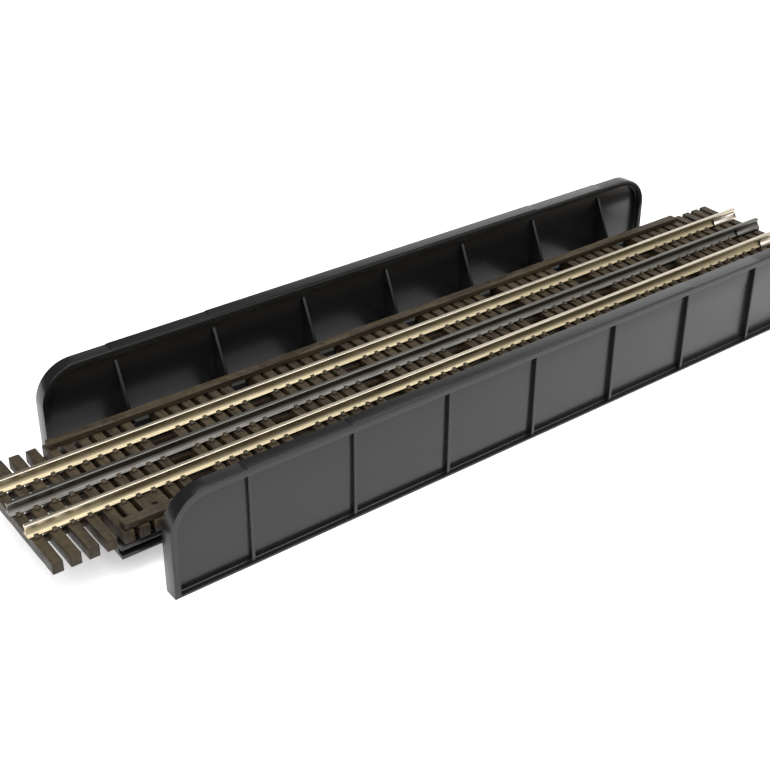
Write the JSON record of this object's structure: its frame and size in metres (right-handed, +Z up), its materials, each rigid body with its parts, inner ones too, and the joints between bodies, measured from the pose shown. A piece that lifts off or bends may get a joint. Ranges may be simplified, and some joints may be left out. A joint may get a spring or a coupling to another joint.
{
  "type": "model railway through plate girder bridge",
  "caption": "Single-track through plate-girder bridge for three-rail model trains, with rounded black girders, brown ties and sliding rail joiners.",
  "frame": {"origin": "on the plane that the two girders stand on, under the middle of the bridge", "axes": "+X along the track towards the rail ends that carry the joiners, +Y across the track from the near girder to the far girder, +Z up"},
  "size_m": [0.4572, 0.1216, 0.0477],
  "materials": {
    "black_plastic": "moulded black plastic with a low satin sheen",
    "brown_plastic": "moulded brown plastic with a faint timber grain",
    "nickel_silver": "drawn nickel silver with a warm golden tint, polished on the head",
    "blackened_metal": "chemically blackened nickel silver, dull",
    "pale_metal": "bright folded sheet metal"
  },
  "bodies": {
    "bridge": {"near_girder": "black_plastic", "near_knee_brace_1": "black_plastic", "near_knee_brace_2": "black_plastic", "near_knee_brace_3": "black_plastic", "near_knee_brace_4": "black_plastic", "near_knee_brace_5": "black_plastic", "near_knee_brace_6": "black_plastic", "near_knee_brace_7": "black_plastic", "near_outer_stringer": "black_plastic", "near_track_stringer": "black_plastic", "near_guard_timber": "brown_plastic", "near_running_rail": "nickel_silver", "far_girder": "black_plastic", "far_knee_brace_1": "black_plastic", "far_knee_brace_2": "black_plastic", "far_knee_brace_3": "black_plastic", "far_knee_brace_4": "black_plastic", "far_knee_brace_5": "black_plastic", "far_knee_brace_6": "black_plastic", "far_knee_brace_7": "black_plastic", "far_outer_stringer": "black_plastic", "far_track_stringer": "black_plastic", "far_guard_timber": "brown_plastic", "far_running_rail": "nickel_silver", "floor_beam_1": "black_plastic", "floor_beam_2": "black_plastic", "floor_beam_3": "black_plastic", "floor_beam_4": "black_plastic", "floor_beam_5": "black_plastic", "floor_beam_6": "black_plastic", "floor_beam_7": "black_plastic", "deck_plate": "black_plastic", "tie_strip": "brown_plastic", "center_rail": "blackened_metal", "left_track_screw": "blackened_metal", "right_track_screw": "blackened_metal"},
    "near_joiner": {"near_rail_joiner": "pale_metal"},
    "far_joiner": {"far_rail_joiner": "pale_metal"},
    "center_joiner": {"center_rail_joiner": "blackened_metal"}
  },
  "joints": [
    {"name": "near_joiner_slide", "type": "slide", "parent": "bridge", "child": "near_joiner", "axis": [1, 0, 0], "range_m": [0, 0.0095]},
    {"name": "far_joiner_slide", "type": "slide", "parent": "bridge", "child": "far_joiner", "axis": [1, 0, 0], "range_m": [0, 0.0095]},
    {"name": "center_joiner_slide", "type": "slide", "parent": "bridge", "child": "center_joiner", "axis": [1, 0, 0], "range_m": [0, 0.0095]}
  ]
}
